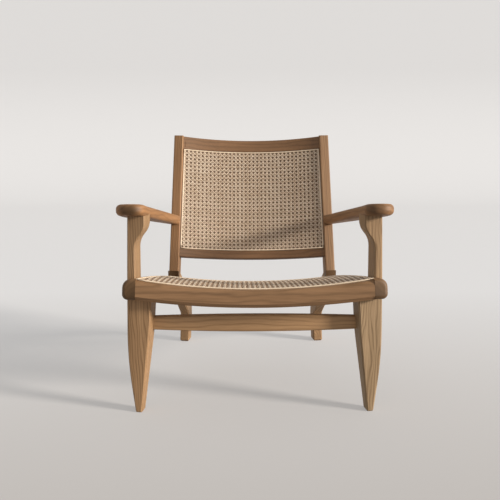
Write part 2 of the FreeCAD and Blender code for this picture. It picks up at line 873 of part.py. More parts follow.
def arm_line(along, top):
    """Height of the armrest's top or underside at a place along the chair."""
    share = (along + arm_tip_overhang) / (arm_end + arm_tip_overhang)
    height = arm_front_top - arm_drop * share
    if top:
        return height
    return height - arm_front_height + (arm_front_height - arm_rear_height) * share


arm_end = back_foot.y + (arm_front_top - arm_drop - knuckle_top) * math.tan(lean)


def arm_wedge():
    """Slab from the line of the armrest's underside up past its top."""
    start = -arm_tip_overhang - overrun
    stop = arm_end + overrun
    side_view = [
        (start, arm_line(start, False), 0),
        (stop, arm_line(stop, False), 0),
        (stop, arm_line(stop, True) + overrun, 0),
        (start, arm_line(start, True) + overrun, 0),
    ]
    return side_plate(side_view, 0, arm_outer_half + overrun)


def armrest(behind):
    """Paddle armrest, wide and rounded at its front and slim where it meets the stile."""
    pitch = math.atan(arm_drop / (arm_end + arm_tip_overhang))
    shoulder = (arm_shoulder_reach + arm_tip_overhang) / math.cos(pitch)
    stop = (arm_end + overrun + arm_tip_overhang) / math.cos(pitch)
    plan = [
        (arm_rear_inner_half, stop, 0),
        (arm_inner_half, shoulder, arm_side_radius),
        (arm_tip_inner_half, 0, arm_tip_radius),
        (arm_outer_half, 0, arm_tip_radius),
        (arm_outer_half, shoulder, arm_side_radius),
        (arm_rear_outer_half, stop, 0),
    ]
    arm = plan_plate(plan, -arm_front_height, 0)

    def level(edge):
        return edge.BoundBox.ZLength < glue_clearance and edge.BoundBox.YMin < stop - overrun

    def top_rim(edge):
        return level(edge) and edge.CenterOfMass.z > -arm_front_height / 2

    def low_rim(edge):
        return level(edge) and edge.CenterOfMass.z < -arm_front_height / 2
    arm = softened(arm, arm_edge_radius, top_rim)
    arm = softened(arm, arm_under_radius, low_rim)
    arm.rotate(Vector(), Vector(1, 0, 0), -math.degrees(pitch))
    arm.translate(Vector(0, -arm_tip_overhang, arm_front_top))
    arm = arm.common(arm_wedge()).cut(behind)
    return max(arm.Solids, key=lambda solid: solid.Volume)


def arm_tenon(grow=0.0):
    """Tongue on top of the arm post, let into the underside of the armrest."""
    middle = side_point(-(post_outer_inset + post_head_inset) / 2, leg_depth / 2, 0)
    under = arm_line(middle.y, False)
    thick = tenon_thickness / 2 + grow
    deep = arm_tenon_depth / 2 + grow
    tongue = block(-thick, thick, -deep, deep, -arm_tenon_length, arm_tenon_length + grow)
    tongue.rotate(Vector(), Vector(0, 0, 1), side_turn)
    tongue.translate(Vector(middle.x, middle.y, under))
    return tongue


def arm_dowel(grow=0.0):
    """Dowel between the back end of the armrest and the stile."""
    x = (arm_rear_inner_half + arm_rear_outer_half) / 2
    middle_height = (arm_line(arm_end, True) + arm_line(arm_end, False)) / 2
    step = Vector(0, arm_end + arm_tip_overhang, -arm_drop).normalize()
    length = dowel_length + 2 * grow
    start = Vector(x, arm_end, middle_height) - step * (length / 2)
    return Part.makeCylinder(dowel_diameter / 2 + grow, length, start, step)


# Pegs that lock the tenons of the rear legs

def leg_peg(grow=0.0):
    """Peg across the knuckle and the tongue of the side rail."""
    start = Vector(-rail_thickness + glue_clearance, knuckle_front + rail_tenon_length / 2,
                   rail_middle(knuckle_front + rail_tenon_length / 2))
    length = rail_thickness - knuckle_outer_inset - 2 * glue_clearance
    if grow > 0:
        start = start - Vector(overrun, 0, 0)
        length = length + overrun * 2
    return in_side_frame(Part.makeCylinder(peg_diameter / 2 + grow, length, start, Vector(1, 0, 0)))


# Assembly of the right side, with each joint's socket cut from its mate

beyond_rail = in_side_frame(block(-rail_thickness - seat_clearance, overrun * 2, -overrun * 2, rail_run,
                                  0, arm_front_top))
stile_space = in_side_frame(stile_bar(-seat_clearance, stile_width + 2 * seat_clearance,
                                      -seat_clearance, stile_depth + 2 * seat_clearance,
                                      -overrun, stile_step.Length + overrun))
leg_space_outline = [
    (-leg_inner_inset - seat_clearance, leg_knee_inner_height - overrun, 0),
    (-leg_inner_inset - seat_clearance, leg_knee_inner_height, 0),
    (-leg_top_inner_inset - seat_clearance, leg_top, 0),
    (0, leg_top, 0),
    (0, leg_knee_inner_height - overrun, 0),
]
leg_space = in_side_frame(front_plate(leg_space_outline, -overrun, leg_depth + overrun))
both_rails = [beyond_rail, mirrored(beyond_rail)]
both_stiles = [stile_space, mirrored(stile_space)]
both_legs = [leg_space, mirrored(leg_space)]

front_joint = -rail_overhang + front_rail_depth / 2
rear_joint = rear_rail_front + rear_rail_depth / 2
front_tongues = seat_rail_tenons(front_joint)
rear_tongues = seat_rail_tenons(rear_joint)
front_sockets = seat_rail_tenons(front_joint, glue_clearance)
rear_sockets = seat_rail_tenons(rear_joint, glue_clearance)

seat_bed = seat_plan(0).common(seat_slab(-cane_bed_depth, overrun))
seat_groove = seat_spline(seat_clearance)
back_groove = back_spline(seat_clearance)
panel_bed = back_bed()

rail = in_side_frame(side_rail_blank())
for tool in (leg_tenon(glue_clearance), post_tenon(glue_clearance)):
    rail = rail.cut(in_side_frame(tool))
rail = rail.fuse(in_side_frame(rail_tenon())).cut(leg_peg(glue_clearance))
rail = rail.cut(front_sockets[0]).cut(rear_sockets[0]).cut(seat_bed).cut(seat_groove)

leg = in_side_frame(front_leg()).cut(stretcher_tenons(glue_clearance)[0])
leg = leg.cut(front_seat_rail(both_rails, leg_shoulder_gap))

hind_leg = in_side_frame(rear_leg()).cut(in_side_frame(rail_tenon(glue_clearance)))
hind_leg = hind_leg.cut(in_side_frame(stile_tenon(glue_clearance))).cut(leg_peg(glue_clearance))

stile = in_side_frame(back_stile()).cut(arm_dowel(glue_clearance))
top_middle = stile_length - top_rail_height / 2
lower_middle = lower_rail_start + lower_rail_height / 2
for middle in (top_middle, lower_middle):
    stile = stile.cut(back_tenons(middle, glue_clearance)[0])

behind_stile = in_side_frame(stile_bar(-overrun, stile_width + 2 * overrun, -seat_clearance, arm_drop,
                                       0, stile_step.Length))
arm = armrest(behind_stile)
arm_space = arm.copy()
arm_space.translate(Vector(0, 0, -seat_clearance))
post = in_side_frame(arm_post()).cut(arm_space)
post = max(post.Solids, key=lambda solid: solid.Volume).fuse(arm_tenon())
arm = arm.cut(arm_tenon(glue_clearance)).cut(arm_dowel(glue_clearance))

front_rail = front_seat_rail(both_rails)
rear_rail = rear_seat_rail(both_rails)
for tongue in front_tongues:
    front_rail = front_rail.fuse(tongue)
for tongue in rear_tongues:
    rear_rail = rear_rail.fuse(tongue)
front_rail = front_rail.cut(seat_bed).cut(seat_groove)
rear_rail = rear_rail.cut(seat_bed).cut(seat_groove)

top_rail = back_rail(stile_length - top_rail_height, stile_length, top_rail_dish, both_stiles)
lower_rail = back_rail(lower_rail_start, lower_rail_start + lower_rail_height, 0, both_stiles)
top_rail = top_rail.cut(panel_bed).cut(back_groove)
lower_rail = lower_rail.cut(panel_bed).cut(back_groove)

stretcher = front_stretcher(both_legs)

pieces = {
    "front_seat_rail": front_rail,
    "rear_seat_rail": rear_rail,
    "front_stretcher": stretcher,
    "back_top_rail": top_rail,
    "back_lower_rail": lower_rail,
    "seat_cane": seat_cane(),
    "seat_spline": seat_spline(),
    "back_cane": back_cane(),
    "back_spline": back_spline(),
}
paired = {
    "side_rail": rail,
    "front_leg": leg,
    "arm_post": post,
    "rear_leg": hind_leg,
    "back_stile": stile,
    "armrest": arm,
}
for name, shape in paired.items():
    pieces["right_" + name] = shape
    pieces["left_" + name] = mirrored(shape)
for name, shape in (("arm_dowels", arm_dowel()), ("knuckle_pegs", leg_peg())):
    pieces[name] = Part.makeCompound([shape, mirrored(shape)])

# The origin goes to the middle of the floor under the chair

whole = Part.makeCompound(list(pieces.values())).optimalBoundingBox(False)
middle_depth = (whole.YMin + whole.YMax) / 2
os.makedirs("parts", exist_ok=True)
for name, shape in sorted(pieces.items()):
    moved = shape.copy()
    moved.translate(Vector(0, -middle_depth, 0))
    if len(moved.Solids) == 1:
        moved = moved.Solids[0]
    moved.exportStep("parts/" + name + ".step")
    print(name, "solids", len(moved.Solids), "valid", moved.isValid(), "mm3", round(moved.Volume))
print("size", round(whole.XLength, 1), round(whole.YLength, 1), round(whole.ZLength, 1),
      "floor", round(whole.ZMin, 2), "shift", round(middle_depth, 2))
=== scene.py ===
import bmesh
import bpy
import math
import random
from mathutils import Euler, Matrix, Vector


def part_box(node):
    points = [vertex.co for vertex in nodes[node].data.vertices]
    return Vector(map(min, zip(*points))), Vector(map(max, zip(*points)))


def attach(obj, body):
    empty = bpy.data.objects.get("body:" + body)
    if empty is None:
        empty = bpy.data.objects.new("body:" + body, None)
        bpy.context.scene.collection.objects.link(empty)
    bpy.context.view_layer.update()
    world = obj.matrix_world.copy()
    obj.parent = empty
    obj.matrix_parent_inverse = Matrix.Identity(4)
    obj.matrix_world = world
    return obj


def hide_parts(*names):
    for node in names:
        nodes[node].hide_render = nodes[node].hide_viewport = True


# Teak lounge chair with a caned seat and back. Metres, +Z up, the sitter faces -Y.

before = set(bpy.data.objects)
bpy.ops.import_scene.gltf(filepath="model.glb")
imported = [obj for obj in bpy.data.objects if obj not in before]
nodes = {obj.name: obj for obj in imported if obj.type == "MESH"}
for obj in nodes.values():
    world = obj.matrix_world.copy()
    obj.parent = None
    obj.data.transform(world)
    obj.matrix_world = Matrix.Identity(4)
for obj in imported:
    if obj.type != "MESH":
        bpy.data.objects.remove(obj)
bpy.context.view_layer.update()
rng = random.Random(11)

# Camera, measured from the front faces of the front legs
camera_left = 0.0448
camera_back = 2.289
camera_height = 0.920
camera_pitch = math.radians(11.59)
camera_yaw = math.radians(0.79)
camera_lens = 64.44
camera_sensor = 36.0

# A low sun through a window on the right, and a soft room
window_strength = 4.3
window_spread = math.radians(11)
window_side = math.radians(21)
window_rise = math.radians(18.5)
window_colour = "FFF8F0"
room_strength = 0.52
room_colour = "F8F8FA"

# Angles and curves of the chair's frame
side_turn = math.radians(9.3)
rail_slope = math.radians(12.5)
rail_run = 0.497
rail_crown = 0.0060
seat_front_dish = 0.0275
seat_rear_dish = 0.0145
seat_front_setback = 0.020
seat_margin = 0.0055
back_lean = math.radians(23.0)
back_bow = 0.045
back_setback = 0.003
stile_length = 0.447
stile_splay = 0.017
panel_low = 0.074
panel_high = 0.405
panel_slack = 0.0019

# Reed, drawn as a round rod that has settled a little into its groove
reed_width = 0.005
reed_rise = 0.0015
reed_radius = 0.0021
reed_settling = 0.0003
reed_facets = 3
reed_steps = 24

# Cane strands, which lie in pairs at each mesh of the weave
cane_recess = 0.00095
strand_thickness = 0.00045
strand_width = 0.0019
strand_crown = 0.66
pair_half = 0.0015
end_margin = 0.0006
back_mesh = 0.0127
seat_mesh = 0.0135

# Heights of an upright, then of a cross strand, where it meets the first and the second strand of a
# crossing pair. Its neighbour in the pair has them the other way round. The slanting strands run at
# the rise.
back_lay = ((-0.00045, 0.00045), (-0.00045, 0.00045))
seat_lay = ((0.00035, 0.00070), (-0.00070, -0.00010))
back_rise = 0.00015
seat_rise = 0.0

# Tones that the uprights, the cross strands and the slanting strands are drawn from, by their place
# in cane_tones. Which strands are pale and which darker is painted light and shade: on the seat
# the uprights, which lie on top, are pale and the lower strands darker, and on the back the
# slanting strands are paler than the straight ones.
back_shares = ((0, 1, 2), (1, 2), (0, 0, 1))
seat_shares = ((0,), (1, 2, 2), (1, 2, 2))

# Upward share of a face's normal below which it takes the darker flank tone, painted shade on
# the strands' sides, on pale strands and on others
back_flank_shade = (0.93, 0.93)
seat_flank_shade = (0.50, 0.97)

# Sheet of painted shade behind the back's cane: how far below the cane it lies, its thickness, and
# the squares of its grid each way
shade_sheet_recess = 0.0018
shade_sheet_thickness = 0.00012
shade_sheet_squares = 24


# Colour, node and object helpers

def linear(hex_colour):
    """Linear colour for an sRGB hex value."""
    channels = []
    for index in (0, 2, 4):
        value = int(hex_colour[index:index + 2], 16) / 255
        channels.append(value / 12.92 if value <= 0.04045 else ((value + 0.055) / 1.055) ** 2.4)
    return (*channels, 1.0)


def add(tree, kind, settings=None, links=None):
    """Node with its settings and with links from other nodes' outputs to its inputs."""
    node = tree.nodes.new(kind)
    for name, value in (settings or {}).items():
        if isinstance(name, str) and hasattr(node, name):
            setattr(node, name, value)
        else:
            node.inputs[name].default_value = value
    for name, output in (links or {}).items():
        tree.links.new(output, node.inputs[name])
    return node


def ramp(tree, source, stops, tone=1.0, coolness=1.0):
    """Colour ramp through stops of position and hex colour, lightened by tone and made cooler."""
    node = add(tree, "ShaderNodeValToRGB", links={"Fac": source})
    elements = node.color_ramp.elements
    while len(elements) < len(stops):
        elements.new(0.5)
    for element, (position, colour) in zip(elements, stops):
        element.position = position
        channels = linear(colour)[:3]
        toned = [channel * tone * coolness ** step for step, channel in enumerate(channels)]
        element.color = (*toned, 1.0)
    return node.outputs["Color"]


def new_material(name):
    """Empty material with its shader."""
    material = bpy.data.materials.new(name)
    material.use_nodes = True
    tree = material.node_tree
    return material, tree, tree.nodes["Principled BSDF"]


def surfaced(tree, shader, colour, gloss, roughness, relief, strength, depth):
    """Shader with a colour, a roughness that follows one pattern and a bump from another."""
    rough = add(tree, "ShaderNodeMapRange", {"To Min": roughness[0], "To Max": roughness[1]},
                {"Value": gloss})
    bump = add(tree, "ShaderNodeBump", {"Strength": strength, "Distance": depth},
               {"Height": relief})
    tree.links.new(colour, shader.inputs["Base Color"])
    tree.links.new(rough.outputs["Result"], shader.inputs["Roughness"])
    tree.links.new(bump.outputs["Normal"], shader.inputs["Normal"])


def placed(name, data):
    """Object of a mesh, curve, lamp or camera, in the scene."""
    piece = bpy.data.objects.new(name, data)
    bpy.context.scene.collection.objects.link(piece)
    return piece


# Teak: planed, sanded and oiled. Straight grey-brown grain with darker streaks and a few curving
# growth lines, a dull satin sheen, and darker front ends: end grain that drank more oil, with
# painted shade on some of them. Each board's lightness is partly its own tone and partly painted
# light and shade. Streaks and lines are drawn about three times as coarse as in the wood, because
# the real ones wouldn't show.

wood_shades = [(0.48, "775A3B"), (0.62, "896A48"), (0.74, "967552"), (0.86, "A3805B"),
               (0.98, "AE8C66")]
# Colour of the dark front ends: end grain, partly painted shade
end_shade = "4A3110"
wood_index = 1.5
oiled_roughness = (0.50, 0.68)
grain_strength = 0.3
grain_depth = 0.0004

# Noises drawn out along the grain: length, width, detail and roughness
grain_noises = {
    "waver": (0.20, 0.05, 2.0, 0.5),
    "streaks": (0.180, 0.0024, 3.0, 0.6),
    "fine": (0.060, 0.0016, 2.0, 0.5),
    "broad": (0.40, 0.028, 2.0, 0.5),
}
fine_weight = 0.35

# Growth lines: rings round the heart of the log, swayed by the waver and sharpened by a power. A
# ring texture of scale 1 has its rings 0.314 m apart.
ring_unit = 0.314
line_sway = 0.030
line_sharpness = 3.0

# Means of the lines and of a noise, and the shade that a board has with its figure at its mean
line_mean = 0.31
noise_mean = 0.5
plain_shade = 0.56

# Where a board was in the log: along it either way, and off its heart
log_reach = 1.0
heart_distance = (0.03, 0.09)

# How a board was sawn: the spacing of its growth lines, then how much its lines, streaks and broad
# tones show. Flat-sawn boards have wide arching lines, quarter-sawn ones close straight lines and
# more streaks.
flat_sawn = (0.0120, 0.17, 0.16, 0.34)
quarter_sawn = (0.0056, 0.25, 0.50, 0.45)

# Dark front ends: how much shallower the dark gets towards the outside, and how deep it reaches.
# They are end grain that took more oil, partly painted shade on the rear legs' knuckles. On the
# right arm it is deepest at the inner side of the paddle, painted shade away from the light on
# the right.
end_grain_and_shade = {
    "side_rail": (0, 0.026),
    "left_armrest": (0, 0.013),
    "right_armrest": (0.45, 0.026),
    "rear_leg": (0, 0.024),
}
paddle_width = 0.062

# Grain of the pieces on the right, mirrored on the left
arm_grain = (-0.09, 0.97, -0.205)
stile_grain = (stile_splay - stile_length * math.sin(back_lean) * math.tan(side_turn),
               stile_length * math.sin(back_lean), stile_length * math.cos(back_lean))
grains = {
    "front_seat_rail": (1, 0, 0),
    "rear_seat_rail": (1, 0, 0),
    "front_stretcher": (1, 0, 0),
    "back_top_rail": (1, 0, 0),
    "back_lower_rail": (1, 0, 0),
    "side_rail": (-math.sin(side_turn), math.cos(side_turn), -math.tan(rail_slope)),
    "front_leg": (0.03, 0, 1),
    "arm_post": (0.02, 0, 1),
    "rear_leg": (-0.05, 0.62, -0.78),
    "back_stile": stile_grain,
    "armrest": arm_grain,
    "arm_dowels": arm_grain,
    "knuckle_pegs": (1, 0, 0),
}

# Lightness and coolness of each board beside the mean: partly its own tone, partly painted light
# and shade, darker on the back's rails and the front seat rail, lighter on the legs and stretcher,
# and different on the left and the right
tones_and_painted_light = {
    "front_seat_rail": (0.83, 0.92),
    "rear_seat_rail": (0.85, 0.95),
    "front_stretcher": (1.30, 1.00),
    "back_top_rail": (0.64, 0.86),
    "back_lower_rail": (0.55, 0.84),
    "side_rail": (0.86, 0.95),
    "left_front_leg": (1.21, 0.99),
    "right_front_leg": (1.08, 1.14),
    "left_arm_post": (1.02, 1.02),
    "right_arm_post": (1.03, 1.07),
    "left_rear_leg": (1.26, 1.00),
    "right_rear_leg": (1.12, 1.00),
    "left_back_stile": (0.98, 0.89),
    "right_back_stile": (0.76, 0.93),
    "left_armrest": (1.04, 0.84),
    "right_armrest": (0.92, 0.87),
    "arm_dowels": (1.00, 1.00),
    "knuckle_pegs": (1.00, 1.00),
}


def teak(name, grain, shift, end, figure, tone, coolness):
    """Teak with its grain along a direction, its place in the log, dark end, figure and colour."""
    line_spacing, line_weight, streak_weight, broad_weight = figure
    mean_kept = (plain_shade + line_mean * line_weight
                 - noise_mean * (streak_weight + broad_weight))
    material, tree, shader = new_material(name)
    turn = Vector(grain).rotation_difference(Vector((1, 0, 0))).to_euler()
    place = add(tree, "ShaderNodeTexCoord").outputs["Object"]
    wood = add(tree, "ShaderNodeMapping", {"Rotation": turn, "Location": shift},
               {"Vector": place}).outputs["Vector"]
    noises = {}
    for part, (length, width, detail, roughness) in grain_noises.items():
        drawn_out = add(tree, "ShaderNodeMapping", {"Scale": (1 / length, 1 / width, 1 / width)},
                        {"Vector": wood})
        noises[part] = add(tree, "ShaderNodeTexNoise",
                           {"Scale": 1.0, "Detail": detail, "Roughness": roughness},
                           {"Vector": drawn_out.outputs["Vector"]}).outputs
    swayed = add(tree, "ShaderNodeVectorMath",
                 {"operation": "MULTIPLY_ADD", 1: (0.0, line_sway, line_sway)},
                 {0: noises["waver"]["Color"], 2: wood})
    rings = add(tree, "ShaderNodeTexWave",
                {"wave_type": "RINGS", "rings_direction": "X", "wave_profile": "SIN",
                 "Scale": ring_unit / line_spacing, "Distortion": 0.0},
                {"Vector": swayed.outputs["Vector"]})
    lines = add(tree, "ShaderNodeMath", {"operation": "POWER", 1: line_sharpness},
                {0: rings.outputs["Fac"]})
    shade = add(tree, "ShaderNodeMath",
                {"operation": "MULTIPLY_ADD", 1: streak_weight, 2: mean_kept},
                {0: noises["streaks"]["Fac"]})
    for layer, weight in ((lines.outputs["Value"], -line_weight),
                          (noises["fine"]["Fac"], fine_weight),
                          (noises["broad"]["Fac"], broad_weight)):
        shade = add(tree, "ShaderNodeMath", {"operation": "MULTIPLY_ADD", 1: weight},
                    {0: layer, 2: shade.outputs["Value"]})
    colour = ramp(tree, shade.outputs["Value"], wood_shades, tone, coolness)
    # Darker towards the front end: end grain, partly painted shade
    if end:
        inward, start, reach = end
        depth = add(tree, "ShaderNodeVectorMath", {"operation": "DOT_PRODUCT", 1: inward},
                    {0: place})
        fading = add(tree, "ShaderNodeMapRange",
                     {"From Min": start, "From Max": start + reach, "To Min": 1.0, "To Max": 0.0},
                     {"Value": depth.outputs["Value"]})
        colour = add(tree, "ShaderNodeMix", {"data_type": "RGBA", 7: linear(end_shade)},
                     {"Factor": fading.outputs["Result"], 6: colour}).outputs[2]
    surfaced(tree, shader, colour, noises["streaks"]["Fac"], oiled_roughness,
             noises["fine"]["Fac"], grain_strength, grain_depth)
    shader.inputs["IOR"].default_value = wood_index
    return material


def finish_wood():
    """Gives each wooden node its own teak, with the grain along the piece."""
    for name, node in sorted(nodes.items()):
        kind = name.replace("left_", "").replace("right_", "")
        if kind not in grains:
            continue
        grain = Vector(grains[kind])
        if name.startswith("left_"):
            grain.x = -grain.x
        shift = [rng.uniform(-log_reach, log_reach), rng.uniform(*heart_distance),
                 rng.uniform(*heart_distance)]
        end = end_grain_and_shade.get(name) or end_grain_and_shade.get(kind)
        if end:
            slant, reach = end
            low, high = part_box(name)
            end = ((slant, 1, 0), low.y + slant * (high.x - paddle_width), reach)
        figure = flat_sawn if kind.endswith(("rail", "stretcher", "armrest")) else quarter_sawn
        # Each board's tone: partly its own, partly painted light and shade.
        tone = tones_and_painted_light.get(name) or tones_and_painted_light[kind]
        material = teak("oiled_teak_" + name, grain.normalized(), shift, end, figure, *tone)
        node.data.materials.clear()
        node.data.materials.append(material)


# Seat and back surfaces, placed by the frame's boxes

seat_low, seat_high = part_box("seat_spline")
knuckle_low, knuckle_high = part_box("right_rear_leg")
seat_depth = seat_high.y - seat_low.y
seat_front_half = seat_high.x
seat_edge_height = seat_high.z - reed_rise


def seat_edge_half(y):
    """Half width of the caned seat at a depth."""
    return seat_front_half - (y - seat_low.y) * math.tan(side_turn)


def seat_point(x, y, lift):
    """Point at a lift over the dished seat surface."""
    along = (y - seat_low.y) / math.cos(side_turn)
    start = seat_front_setback / rail_run
    place = start + along / rail_run
    crown = 4 * rail_crown * (place * (1 - place) - start * (1 - start)) / math.cos(rail_slope)
    edge = seat_edge_height - along * math.tan(rail_slope) + crown
    half = seat_edge_half(y)
    dish = seat_front_dish + (seat_rear_dish - seat_front_dish) * (y - seat_low.y) / seat_depth
    radius = (half ** 2 + dish ** 2) / (2 * dish)
    drop = dish - radius + math.sqrt(radius ** 2 - x ** 2)
    return Vector((x, y, edge - drop + lift))


back_foot = Vector((0, knuckle_low.y, knuckle_high.z))
back_foot_half = seat_edge_half(back_foot.y) - seat_margin / math.cos(side_turn)


def back_edge_half(up):
    """Half width between the stiles at a height up the slope of the back."""
    share = up / stile_length
    rearward = stile_length * math.sin(back_lean) * share
    splayed = back_foot_half + stile_splay * share * math.cos(side_turn)
    return splayed - rearward * math.sin(side_turn)


def back_point(x, up, lift):
    """Point at a lift in front of the bowed back surface."""
    radius = (back_foot_half ** 2 + back_bow ** 2) / (2 * back_bow)
    depth = back_setback + back_bow - radius + math.sqrt((radius - lift) ** 2 - x ** 2)
    y = depth * math.cos(back_lean) + up * math.sin(back_lean)
    z = -depth * math.sin(back_lean) + up * math.cos(back_lean)
    return back_foot + Vector((x, y, z))


# Outlines of the two panels, as corners on their flat patterns

def even_outline(low_half, low, high_half, high):
    """Four corners of a panel with the same half widths on the left and right."""
    return [(-low_half, low), (low_half, low), (high_half, high), (-high_half, high)]


seat_outline = even_outline(seat_front_half, seat_low.y,
                            seat_edge_half(seat_high.y), seat_high.y)
back_outline = even_outline(back_edge_half(panel_low) - panel_slack, panel_low,
                            back_edge_half(panel_high) - panel_slack, panel_high)


def drawn_in(outline, inset):
    """Corners of a four-sided outline moved inwards by inset."""
    corners = [Vector(corner) for corner in outline]
    moved = []
    for index, corner in enumerate(corners):
        before = (corner - corners[index - 1]).normalized()
        after = (corners[(index + 1) % 4] - corner).normalized()
        turn = before.x * after.y - before.y * after.x
        moved.append(corner + (after - before) * (inset / turn))
    return moved


# Cane: split rattan bark, woven wet and dried tight. Pale, smooth and slightly glossy, with each
# strand a little lighter or darker than the next. The strands' sides are drawn darker, painted
# shade from the strands beside them. Blotches are about 6 mm long. The fibres, 0.4 mm apart,
# are finer than the picture shows, and only soften the gloss. The reed is the same vine's peeled
# core, rounder and more even.

blotches_per_metre = 160.0
fibres_per_metre = 2600.0
blotch_range = (0.32, 0.68)
dried_roughness = (0.34, 0.52)
fibre_strength = 0.15
fibre_depth = 0.0001


def cane(name, pale, deep):
    """Cane strand between a pale and a deeper tone."""
    material, tree, shader = new_material(name)
    place = add(tree, "ShaderNodeTexCoord").outputs["Object"]
    blotch = add(tree, "ShaderNodeTexNoise", {"Scale": blotches_per_metre, "Detail": 3.0},
                 {"Vector": place}).outputs["Fac"]
    fibre = add(tree, "ShaderNodeTexNoise", {"Scale": fibres_per_metre, "Detail": 1.0},
                {"Vector": place}).outputs["Fac"]
    colour = ramp(tree, blotch, [(blotch_range[0], deep), (blotch_range[1], pale)])
    surfaced(tree, shader, colour, blotch, dried_roughness, fibre, fibre_strength, fibre_depth)
    return material


cane_tones = [
    cane("split_cane_pale", "FAEAD2", "EAD6BB"),
    cane("split_cane_straw", "EED9BF", "DAC3A7"),
    cane("split_cane_honey", "D3B99A", "B99E80"),
    # The last tone is for the strands' sides: painted shade.
    cane("cut_edge_of_cane", "A88A6F", "886D55"),
]
shaded_flank = 3
reed_finish = cane("peeled_reed", "EEDBC1", "DFC9AB")


def curve_object(name, materials):
    """Empty curve for closed forms swept along splines."""
    curve = bpy.data.curves.new(name, "CURVE")
    curve.dimensions = "3D"
    curve.twist_mode = "Z_UP"
    curve.use_fill_caps = True
    for material in materials:
        curve.materials.append(material)
    return placed(name, curve)


def run_through(curve, places, closed=False):
    """Spline of straight runs through places."""
    spline = curve.splines.new("POLY")
    spline.points.add(len(places) - 1)
    for point, place in zip(spline.points, places):
        point.co = (*place, 1)
    spline.use_cyclic_u = closed
    return spline


def strand_section():
    """Flat section of a strand with a crowned top."""
    half = strand_width / 2
    thick = strand_thickness / 2
    face = strand_crown * half
    section = bpy.data.curves.new("strand_section", "CURVE")
    section.dimensions = "2D"
    run_through(section, [(-half, -thick, 0), (half, -thick, 0), (half, 0, 0), (face, thick, 0),
                          (-face, thick, 0), (-half, 0, 0)], closed=True)
    return placed("strand_section", section)


section_piece = strand_section()

# Limits of the sums below: farther than any panel reaches, and as good as parallel
beyond_panel = 10.0
nearly_parallel = 1e-9


def crossing_range(corners, origin, direction):
    """Distances along a line between which it lies inside the corners' outline."""
    enter, leave = -beyond_panel, beyond_panel
    for index, corner in enumerate(corners):
        edge = corners[(index + 1) % len(corners)] - corner
        inward = Vector((-edge.y, edge.x))
        rate = inward.dot(direction)
        gap = inward.dot(origin - corner)
        if abs(rate) < nearly_parallel:
            if gap < 0:
                return 1.0, -1.0
            continue
        cut = -gap / rate
        if rate > 0:
            enter = max(enter, cut)
        else:
            leave = min(leave, cut)
    return enter, leave


def strand_run(piece, corners, origin, direction, pattern, period, shares):
    """Strand along a line inside the corners; pattern gives offsets and heights in each period."""
    enter, leave = crossing_range(corners, origin, direction)
    if leave - enter < period / 2:
        return
    knots = []
    for turn in range(math.floor(enter / period) - 1, math.ceil(leave / period) + 1):
        knots += [(turn * period + offset, height) for offset, height in pattern]
    knots = [knot for knot in knots if enter + end_margin < knot[0] < leave - end_margin]
    if not knots:
        return
    knots = [(enter, knots[0][1])] + knots + [(leave, knots[-1][1])]
    places = []
    for distance, height in knots:
        flat = origin + direction * distance
        places.append((flat.x, flat.y, height))
    run_through(piece.data, places).material_index = rng.choice(shares)


def made_mesh(piece, name):
    """Mesh object made from a curve, which is removed."""
    swept = piece.evaluated_get(bpy.context.evaluated_depsgraph_get())
    data = bpy.data.meshes.new_from_object(swept)
    bpy.data.objects.remove(piece)
    return placed(name, data)


def laid_on(piece, surface, edges):
    """Swept strands made a mesh and laid on a surface, a cane's recess below it."""
    piece.data.bevel_mode = "OBJECT"
    piece.data.bevel_object = section_piece
    strands = made_mesh(piece, piece.name + "_strands")
    # Faces that turn away from up take the flank tone: painted shade on the strands' sides.
    for polygon in strands.data.polygons:
        if abs(polygon.normal.z) < edges[min(polygon.material_index, 1)]:
            polygon.material_index = shaded_flank
    for vertex in strands.data.vertices:
        flat = vertex.co
        vertex.co = surface(flat.x, flat.y, flat.z - cane_recess)
    return strands


def woven_panel(name, outline, surface, mesh, lay, rise, shares, edges):
    """Six-way woven cane over an outline, as its strands of each direction."""
    corners = drawn_in(outline, reed_width / 2)
    # Half a mesh off the middle, so that no pair lies along the reed
    middle = Vector((0, (outline[0][1] + outline[2][1] + mesh) / 2))
    reach = max(abs(outline[0][0]), abs(outline[2][0])) + mesh
    tall = (outline[2][1] - outline[0][1]) / 2 + mesh
    count_across = math.ceil(reach / mesh)
    count_up = math.ceil(tall / mesh)
    tilt = strand_thickness / 2
    flank = strand_width / 2
    upright, cross, rising, falling = [
        curve_object(name + way, cane_tones)
        for way in ("_upright", "_cross", "_rising", "_falling")]

    def woven(first, second):
        """Offsets and heights of a strand over one mesh, level where it meets each strand."""
        return [(pair_half - flank, first), (mesh / 2 - pair_half + flank, first),
                (mesh / 2 + pair_half - flank, second), (mesh - pair_half + flank, second)]
    uprights, crosses = lay
    for column in range(-count_across, count_across + 1):
        for side in (1, -1):
            origin = middle + Vector((column * mesh + side * pair_half, 0))
            strand_run(upright, corners, origin, Vector((0, 1)), woven(*uprights[::side]), mesh,
                       shares[0])
    for row in range(-count_up, count_up + 1):
        for side in (1, -1):
            origin = middle + Vector((0, (row + 0.5) * mesh - side * pair_half))
            strand_run(cross, corners, origin, Vector((1, 0)), woven(*crosses[::-side]), mesh,
                       shares[1])
    # Slanting strands cross through the open corners of the mesh, the rising ones below
    slope = mesh / math.sqrt(2)
    for line in range(-count_across - count_up, count_across + count_up + 1):
        origin = middle + Vector((0, line * mesh))
        for way, slanting in ((1, rising), (-1, falling)):
            crossing = [(0, rise - way * tilt), (pair_half, rise), (slope - pair_half, rise)]
            strand_run(slanting, corners, origin, Vector((1, way)).normalized(), crossing, slope,
                       shares[2])
    return [laid_on(piece, surface, edges) for piece in (upright, cross, rising, falling)]


